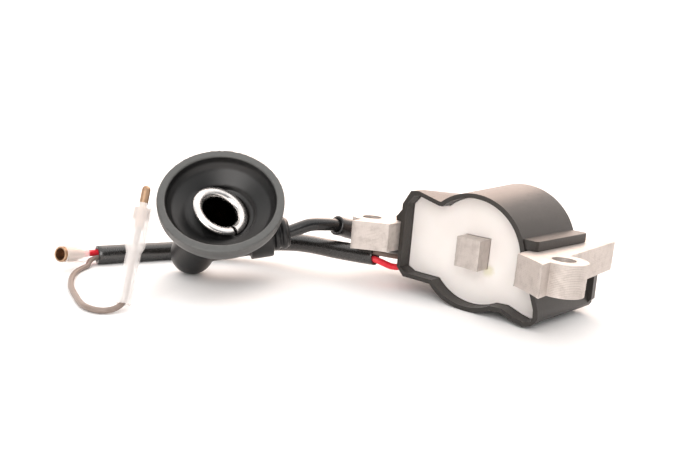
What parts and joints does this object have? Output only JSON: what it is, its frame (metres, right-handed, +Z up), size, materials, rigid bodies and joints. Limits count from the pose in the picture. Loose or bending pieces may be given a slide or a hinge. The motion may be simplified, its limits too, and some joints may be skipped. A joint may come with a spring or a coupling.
{
  "type": "ignition coil",
  "caption": "Potted ignition module on an E-shaped steel core, with a plug lead to a cupped rubber boot and a black sleeve carrying two wires to bullet terminals.",
  "frame": {"origin": "midway between the two mounting holes, on the lower face of the steel core", "axes": "+Z up along the mounting holes, -Y out of the pole faces towards the flywheel, +X from the wire side to the plain side"},
  "size_m": [0.1538, 0.1413, 0.0452],
  "materials": {
    "core_steel": "bare punched laminations, matt, faintly oxidised edges",
    "rivet_steel": "plated, slightly dull",
    "case_plastic": "satin black moulded shell",
    "potting_resin": "cream casting resin, satin with small pits",
    "bobbin_plastic": "natural moulding",
    "copper_wire": "enamelled copper wire",
    "board_laminate": "green glass laminate",
    "capacitor_case": "dipped film capacitor",
    "component_black": "moulded component bodies",
    "resistor_body": "lacquered resistor",
    "terminal_brass": "bare brass, slightly tarnished",
    "lead_rubber": "smooth black lead sheath",
    "boot_rubber": "black moulded rubber, greyed rim",
    "ferrule_steel": "bright plated spring steel",
    "black_pvc": "soft black tube",
    "red_insulation": "red wire covering",
    "grey_insulation": "grey wire covering",
    "clear_pvc": "clear soft tube"
  },
  "bodies": {
    "module": {"core_stack": "core_steel", "core_rivets": "rivet_steel", "coil_case": "case_plastic", "potting": "potting_resin", "primary_bobbin": "bobbin_plastic", "primary_winding": "copper_wire", "secondary_bobbin": "bobbin_plastic", "secondary_winding": "copper_wire", "circuit_board": "board_laminate", "charge_capacitor": "capacitor_case", "thyristor": "component_black", "diodes": "component_black", "resistors": "resistor_body", "ht_terminal": "terminal_brass", "ht_lead": "lead_rubber", "lead_grommet": "lead_rubber", "lead_terminal": "terminal_brass", "wire_sleeve": "black_pvc", "red_wire": "red_insulation", "grey_wire": "grey_insulation", "red_terminal": "terminal_brass", "grey_terminal": "terminal_brass"},
    "boot": {"spark_boot": "boot_rubber", "plug_ferrule": "ferrule_steel", "boot_contact": "terminal_brass"},
    "red_cover": {"red_terminal_sleeve": "clear_pvc"},
    "grey_cover": {"grey_terminal_sleeve": "clear_pvc"}
  },
  "joints": [
    {"name": "boot_swivel", "type": "hinge", "parent": "module", "child": "boot", "pos_m": [-0.07592, -0.04689, -0.00328], "axis": [0.5444, 0.8224, 0.165], "range_deg": [0, 25]},
    {"name": "red_cover_slide", "type": "slide", "parent": "module", "child": "red_cover", "axis": [0.3043, -0.9366, 0.1736], "range_m": [0, 0.0035]},
    {"name": "grey_cover_slide", "type": "slide", "parent": "module", "child": "grey_cover", "axis": [-0.3389, 0.4005, 0.8514], "range_m": [0, 0.007]}
  ]
}
